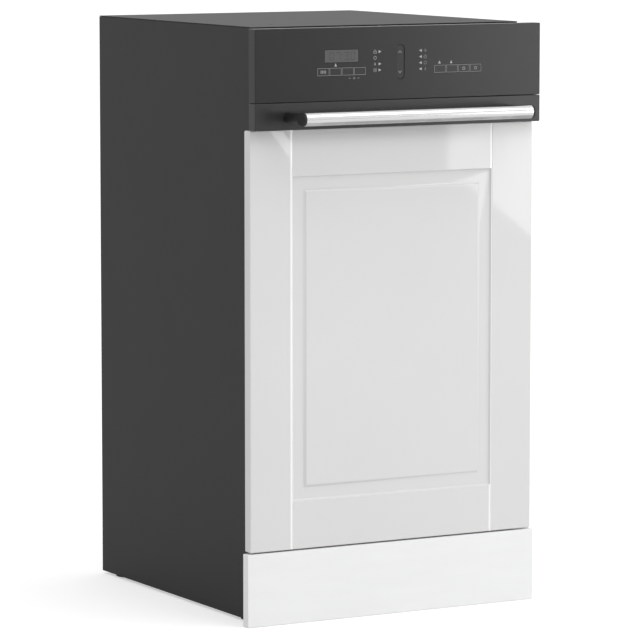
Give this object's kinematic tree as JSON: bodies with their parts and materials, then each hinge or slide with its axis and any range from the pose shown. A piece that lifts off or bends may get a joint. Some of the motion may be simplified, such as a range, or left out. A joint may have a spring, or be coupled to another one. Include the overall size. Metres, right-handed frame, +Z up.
{
  "type": "built in dishwasher",
  "caption": "Narrow under-counter dishwasher: dark cabinet, black control panel with bar handle, white framed decor door over a plinth, steel tub with two baskets and spray arms.",
  "frame": {"origin": "middle of the footprint on the floor", "axes": "+Z up, +Y from the door to the rear, +X to the right seen from the front"},
  "size_m": [0.456, 0.5628, 0.815],
  "materials": {
    "anthracite_paint": "satin anthracite powder coat",
    "galvanised": "zinc coated sheet",
    "stainless": "fine brushed stainless",
    "gloss_black": "smooth black, soft gloss",
    "matt_black": "fine grained black",
    "white_lacquer": "high-gloss white lacquer on fibreboard",
    "white_board": "satin white foil on fibreboard",
    "chrome": "polished chrome",
    "key_black": "black with light printed outlines",
    "display": "grey segment display behind a clear pane",
    "seal_rubber": "matt grey rubber",
    "grey_plastic": "moulded grey plastic",
    "light_plastic": "moulded light grey plastic",
    "basket_coating": "nylon coated wire",
    "spring_steel": "oiled spring steel",
    "pump_black": "moulded black plastic"
  },
  "bodies": {
    "root": {"left_side_panel": "anthracite_paint", "right_side_panel": "anthracite_paint", "top_cover": "anthracite_paint", "back_cover": "galvanised", "base_tray": "matt_black", "plinth": "white_board", "tub": "stainless", "door_seal": "seal_rubber", "sump": "grey_plastic", "filter_plate": "stainless", "salt_container": "light_plastic", "circulation_pump": "pump_black", "drain_pump": "pump_black", "inlet_valve": "light_plastic", "spray_duct": "grey_plastic", "latch_striker": "galvanised", "balance_spring_left": "spring_steel", "balance_spring_right": "spring_steel"},
    "door": {"inner_door": "stainless", "outer_door": "galvanised", "decor_panel": "white_lacquer", "control_housing": "matt_black", "control_fascia": "gloss_black", "handle_strip": "gloss_black", "display_window": "display", "handle_bar": "chrome", "handle_post_left": "matt_black", "handle_post_right": "matt_black", "hinge_arm_left": "galvanised", "hinge_arm_right": "galvanised", "detergent_dispenser": "grey_plastic"},
    "upper_rails": {"rack_rail_left": "stainless", "rack_rail_right": "stainless"},
    "upper_rack": {"upper_basket": "basket_coating"},
    "lower_rack": {"lower_basket": "basket_coating", "cutlery_basket": "grey_plastic"},
    "basket_wheel_front_left": {"basket_wheel_front_left": "grey_plastic"},
    "basket_wheel_front_right": {"basket_wheel_front_right": "grey_plastic"},
    "basket_wheel_rear_left": {"basket_wheel_rear_left": "grey_plastic"},
    "basket_wheel_rear_right": {"basket_wheel_rear_right": "grey_plastic"},
    "lower_spray_arm": {"lower_spray_arm": "grey_plastic"},
    "upper_spray_arm": {"upper_spray_arm": "grey_plastic"},
    "fine_filter": {"fine_filter": "grey_plastic"},
    "salt_cap": {"salt_cap": "grey_plastic"},
    "foot_front_left": {"foot_front_left": "matt_black"},
    "foot_front_right": {"foot_front_right": "matt_black"},
    "foot_rear_left": {"foot_rear_left": "matt_black"},
    "foot_rear_right": {"foot_rear_right": "matt_black"},
    "key_left_1": {"key_left_1": "key_black"},
    "key_left_2": {"key_left_2": "key_black"},
    "key_left_3": {"key_left_3": "key_black"},
    "key_left_4": {"key_left_4": "key_black"},
    "key_right_1": {"key_right_1": "key_black"},
    "key_right_2": {"key_right_2": "key_black"},
    "key_right_3": {"key_right_3": "key_black"},
    "key_right_4": {"key_right_4": "key_black"},
    "rocker_key": {"rocker_key": "key_black"},
    "dispenser_lid": {"dispenser_lid": "light_plastic"},
    "rinse_aid_cap": {"rinse_aid_cap": "grey_plastic"},
    "door_latch": {"door_latch": "galvanised"}
  },
  "joints": [
    {"name": "door_hinge", "type": "hinge", "parent": "root", "child": "door", "pos_m": [0, -0.20413, 0.108], "axis": [1, 0, 0], "range_deg": [0, 90], "stiffness_Nm_per_rad": 30},
    {"name": "upper_rail_slide", "type": "slide", "parent": "root", "child": "upper_rails", "axis": [0, -1, 0], "range_m": [0, 0.1501]},
    {"name": "upper_rack_slide", "type": "slide", "parent": "upper_rails", "child": "upper_rack", "axis": [0, -1, 0], "range_m": [0, 0.1501]},
    {"name": "lower_rack_slide", "type": "slide", "parent": "root", "child": "lower_rack", "axis": [0, -1, 0], "range_m": [0, 0.1006]},
    {"name": "wheel_spin_front_left", "type": "hinge", "parent": "lower_rack", "child": "basket_wheel_front_left", "pos_m": [-0.184, -0.09813, 0.1753], "axis": [1, 0, 0], "range_deg": [0, 320.1]},
    {"name": "wheel_spin_front_right", "type": "hinge", "parent": "lower_rack", "child": "basket_wheel_front_right", "pos_m": [0.184, -0.09813, 0.1753], "axis": [1, 0, 0], "range_deg": [0, 320.1]},
    {"name": "wheel_spin_rear_left", "type": "hinge", "parent": "lower_rack", "child": "basket_wheel_rear_left", "pos_m": [-0.184, 0.21188, 0.1753], "axis": [1, 0, 0], "range_deg": [0, 320.1]},
    {"name": "wheel_spin_rear_right", "type": "hinge", "parent": "lower_rack", "child": "basket_wheel_rear_right", "pos_m": [0.184, 0.21188, 0.1753], "axis": [1, 0, 0], "range_deg": [0, 320.1]},
    {"name": "lower_arm_spin", "type": "hinge", "parent": "root", "child": "lower_spray_arm", "pos_m": [0, 0.05688, 0.15], "axis": [0, 0, 1], "continuous": true},
    {"name": "upper_arm_spin", "type": "hinge", "parent": "upper_rack", "child": "upper_spray_arm", "pos_m": [0, 0.05688, 0.407], "axis": [0, 0, 1], "continuous": true},
    {"name": "filter_twist", "type": "hinge", "parent": "root", "child": "fine_filter", "pos_m": [0.075, 0.11688, 0.105], "axis": [0, 0, 1], "range_deg": [0, 60]},
    {"name": "salt_cap_turn", "type": "hinge", "parent": "root", "child": "salt_cap", "pos_m": [-0.115, -0.06613, 0.13], "axis": [0, 0, 1], "range_deg": [0, 360]},
    {"name": "foot_front_left_height", "type": "slide", "parent": "root", "child": "foot_front_left", "axis": [0, 0, -1], "range_m": [0, 0.04]},
    {"name": "foot_front_right_height", "type": "slide", "parent": "root", "child": "foot_front_right", "axis": [0, 0, -1], "range_m": [0, 0.04]},
    {"name": "foot_rear_left_height", "type": "slide", "parent": "root", "child": "foot_rear_left", "axis": [0, 0, -1], "range_m": [0, 0.04]},
    {"name": "foot_rear_right_height", "type": "slide", "parent": "root", "child": "foot_rear_right", "axis": [0, 0, -1], "range_m": [0, 0.04]},
    {"name": "key_left_1_press", "type": "slide", "parent": "door", "child": "key_left_1", "axis": [0, 1, 0], "range_m": [0, 0.001], "stiffness_N_per_m": 600},
    {"name": "key_left_2_press", "type": "slide", "parent": "door", "child": "key_left_2", "axis": [0, 1, 0], "range_m": [0, 0.001], "stiffness_N_per_m": 600},
    {"name": "key_left_3_press", "type": "slide", "parent": "door", "child": "key_left_3", "axis": [0, 1, 0], "range_m": [0, 0.001], "stiffness_N_per_m": 600},
    {"name": "key_left_4_press", "type": "slide", "parent": "door", "child": "key_left_4", "axis": [0, 1, 0], "range_m": [0, 0.001], "stiffness_N_per_m": 600},
    {"name": "key_right_1_press", "type": "slide", "parent": "door", "child": "key_right_1", "axis": [0, 1, 0], "range_m": [0, 0.001], "stiffness_N_per_m": 600},
    {"name": "key_right_2_press", "type": "slide", "parent": "door", "child": "key_right_2", "axis": [0, 1, 0], "range_m": [0, 0.001], "stiffness_N_per_m": 600},
    {"name": "key_right_3_press", "type": "slide", "parent": "door", "child": "key_right_3", "axis": [0, 1, 0], "range_m": [0, 0.001], "stiffness_N_per_m": 600},
    {"name": "key_right_4_press", "type": "slide", "parent": "door", "child": "key_right_4", "axis": [0, 1, 0], "range_m": [0, 0.001], "stiffness_N_per_m": 600},
    {"name": "rocker_tilt", "type": "hinge", "parent": "door", "child": "rocker_key", "pos_m": [0, -0.21632, 0.765], "axis": [1, 0, 0], "range_deg": [-2, 2], "stiffness_Nm_per_rad": 0.6},
    {"name": "dispenser_lid_slide", "type": "slide", "parent": "door", "child": "dispenser_lid", "axis": [1, 0, 0], "range_m": [0, 0.064]},
    {"name": "rinse_aid_cap_turn", "type": "hinge", "parent": "door", "child": "rinse_aid_cap", "pos_m": [0.042, -0.14413, 0.47], "axis": [0, 1, 0], "range_deg": [0, 90]},
    {"name": "latch_lift", "type": "hinge", "parent": "door", "child": "door_latch", "pos_m": [0, -0.17613, 0.8075], "axis": [1, 0, 0], "range_deg": [0, 4], "stiffness_Nm_per_rad": 3}
  ],
  "couplings": [
    {"joint": "upper_rail_slide", "follows": "door_hinge", "m_per_rad": 0.0955},
    {"joint": "upper_rack_slide", "follows": "door_hinge", "m_per_rad": 0.0955},
    {"joint": "lower_rack_slide", "follows": "door_hinge", "m_per_rad": 0.064},
    {"joint": "wheel_spin_front_left", "follows": "door_hinge", "ratio": 3.5556},
    {"joint": "wheel_spin_front_right", "follows": "door_hinge", "ratio": 3.5556},
    {"joint": "wheel_spin_rear_left", "follows": "door_hinge", "ratio": 3.5556},
    {"joint": "wheel_spin_rear_right", "follows": "door_hinge", "ratio": 3.5556}
  ]
}
